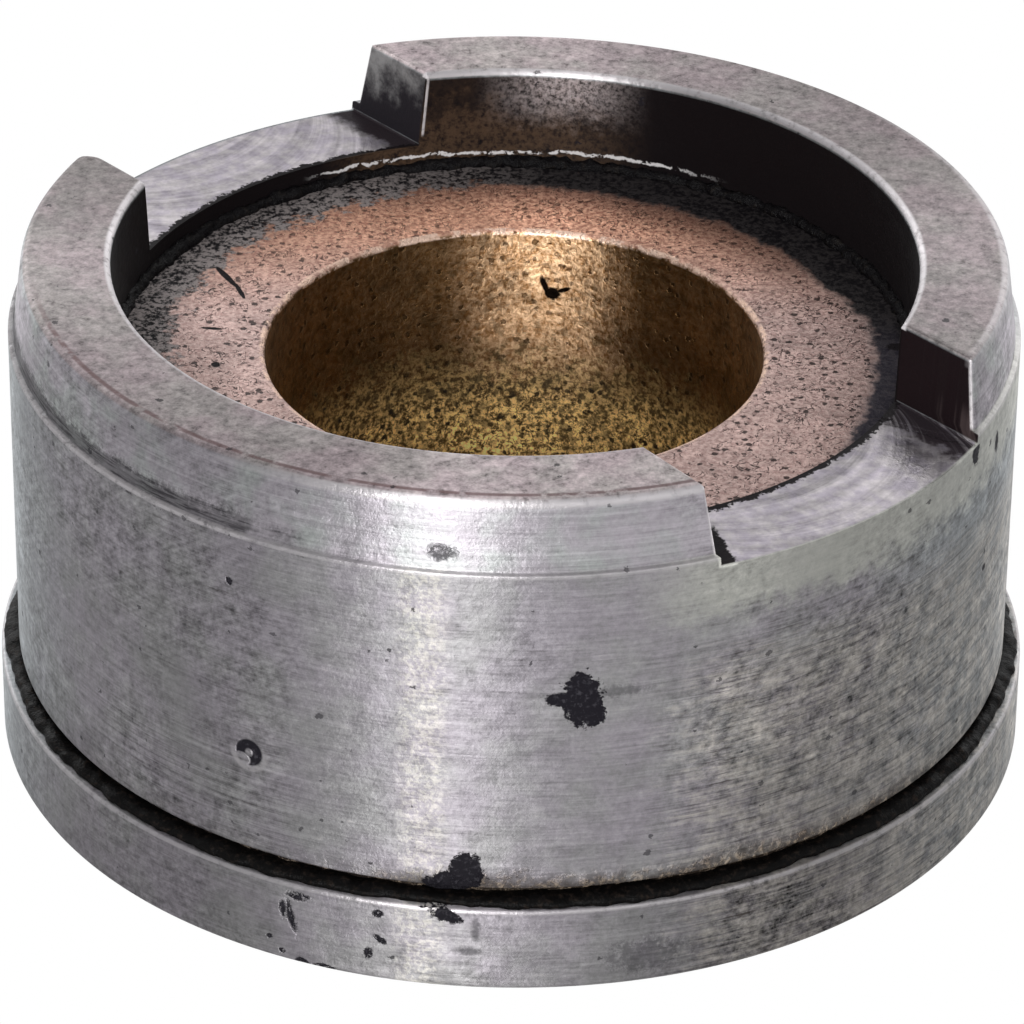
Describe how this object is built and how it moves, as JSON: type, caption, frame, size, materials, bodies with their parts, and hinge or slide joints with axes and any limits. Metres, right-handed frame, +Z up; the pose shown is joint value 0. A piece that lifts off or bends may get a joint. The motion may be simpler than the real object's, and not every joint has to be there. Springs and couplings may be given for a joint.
{
  "type": "sleeve bushing",
  "caption": "Sintered bronze sleeve bushing pressed into a flanged steel carrier ring with two opposed drive dogs on its upper face.",
  "frame": {"origin": "centre of the flange's lower face, on the bore axis", "axes": "+Z up the bore axis towards the dogs; X along the slot between the dogs; the dogs stand at +Y and -Y"},
  "size_m": [0.0522, 0.0522, 0.0261],
  "materials": {
    "ground_steel": "ground and turned steel with oil stains",
    "sintered_bronze": "porous sintered bronze, worn"
  },
  "bodies": {
    "root": {"carrier_ring": "ground_steel", "bronze_bushing": "sintered_bronze"}
  },
  "joints": []
}
